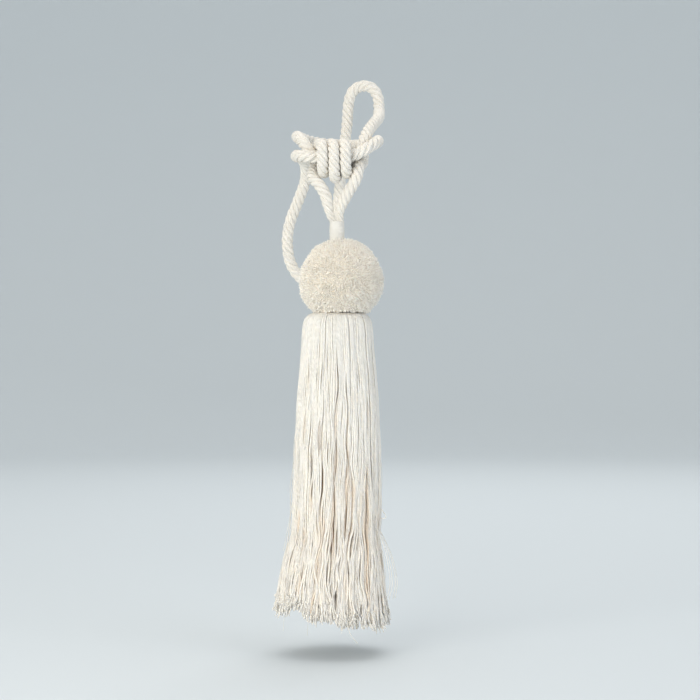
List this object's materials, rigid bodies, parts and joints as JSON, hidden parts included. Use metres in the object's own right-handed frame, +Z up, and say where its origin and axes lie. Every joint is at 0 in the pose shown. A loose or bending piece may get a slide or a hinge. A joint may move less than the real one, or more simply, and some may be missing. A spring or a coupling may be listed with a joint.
{
  "type": "curtain tieback tassel",
  "caption": "Twisted cotton rope tieback on a wall hook, wrapped knot in front, with a hanging tassel: wrapped neck, round pompom and a long straight yarn skirt.",
  "frame": {"origin": "under the rope bight that hangs on the wall hook", "axes": "+Z up, -Y towards the room, +X to the right as seen from the room"},
  "size_m": [0.0719, 0.1281, 0.3682],
  "materials": {
    "rope_cotton": "matte",
    "neck_yarn": "satin",
    "pompom_pile": "matte",
    "skirt_yarn": "matte"
  },
  "bodies": {
    "root": {"loop_rope": "rope_cotton", "tassel_rope": "rope_cotton", "neck_binding": "neck_yarn", "pompom": "pompom_pile", "skirt": "skirt_yarn"}
  },
  "joints": []
}
